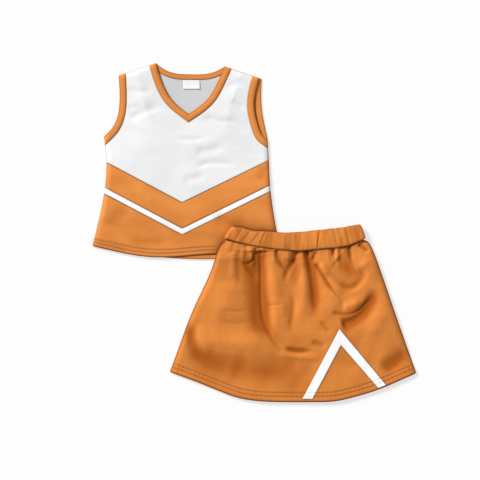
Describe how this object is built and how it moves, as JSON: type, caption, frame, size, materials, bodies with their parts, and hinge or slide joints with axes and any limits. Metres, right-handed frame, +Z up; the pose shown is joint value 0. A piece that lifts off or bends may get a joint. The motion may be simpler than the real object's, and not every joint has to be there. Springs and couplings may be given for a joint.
{
  "type": "cheer uniform",
  "caption": "Child's two-piece cheer uniform laid flat: sleeveless V-neck shell with a chevron front and a pull-on skirt with a braided notch.",
  "frame": {"origin": "on the surface that the set lies on, under the middle of the whole set", "axes": "+Z up out of the surface, +Y towards the wearer's head, +X to the right as seen from above"},
  "size_m": [0.5498, 0.5752, 0.0219],
  "materials": {
    "orange_knit": "smooth polyester knit with a soft sheen",
    "orange_binding": "folded polyester knit binding",
    "white_knit": "smooth white polyester knit",
    "white_braid": "flat white braid",
    "label_weave": "woven satin label with no print",
    "orange_thread": "spun polyester thread",
    "white_thread": "spun polyester thread",
    "elastic": "woven elastic"
  },
  "bodies": {
    "shell": {"shell_front_yoke": "white_knit", "shell_front_band": "orange_knit", "shell_front_stripe": "white_knit", "shell_front_hem_panel": "orange_knit", "shell_back_yoke": "white_knit", "shell_back_band": "orange_knit", "shell_back_stripe": "white_knit", "shell_back_hem_panel": "orange_knit", "neck_binding_front_left": "orange_binding", "neck_binding_front_right": "orange_binding", "neck_binding_back": "orange_binding", "armhole_binding_left_front": "orange_binding", "armhole_binding_left_back": "orange_binding", "armhole_binding_right_front": "orange_binding", "armhole_binding_right_back": "orange_binding", "shoulder_seam_left": "white_knit", "shoulder_seam_right": "white_knit", "side_seam_left": "orange_knit", "side_seam_right": "orange_knit", "shell_front_hem_turnup": "orange_knit", "shell_back_hem_turnup": "orange_knit", "shell_front_hem_stitching": "orange_thread", "shell_back_hem_stitching": "orange_thread", "neck_label_stitching": "white_thread"},
    "skirt": {"waistband_front": "orange_knit", "waistband_back": "orange_knit", "waist_elastic": "elastic", "waist_seam_front": "orange_thread", "waist_seam_back": "orange_thread", "skirt_front_panel": "orange_knit", "skirt_godet": "orange_knit", "skirt_back_panel": "orange_knit", "skirt_notch_stripe_left": "white_braid", "skirt_notch_stripe_right": "white_braid", "skirt_side_seam_left": "orange_knit", "skirt_side_seam_right": "orange_knit", "skirt_front_hem_turnup": "orange_knit", "skirt_back_hem_turnup": "orange_knit", "skirt_front_hem_stitching": "orange_thread", "skirt_back_hem_stitching": "orange_thread"},
    "neck_label": {"neck_label": "label_weave"}
  },
  "joints": [
    {"name": "skirt_lift", "type": "slide", "parent": "shell", "child": "skirt", "axis": [0, 0, 1], "range_m": [0, 0.25]},
    {"name": "neck_label_fold", "type": "hinge", "parent": "shell", "child": "neck_label", "pos_m": [-0.1064, 0.2582, 0.0023], "axis": [-1, 0, 0], "range_deg": [0, 160]}
  ]
}
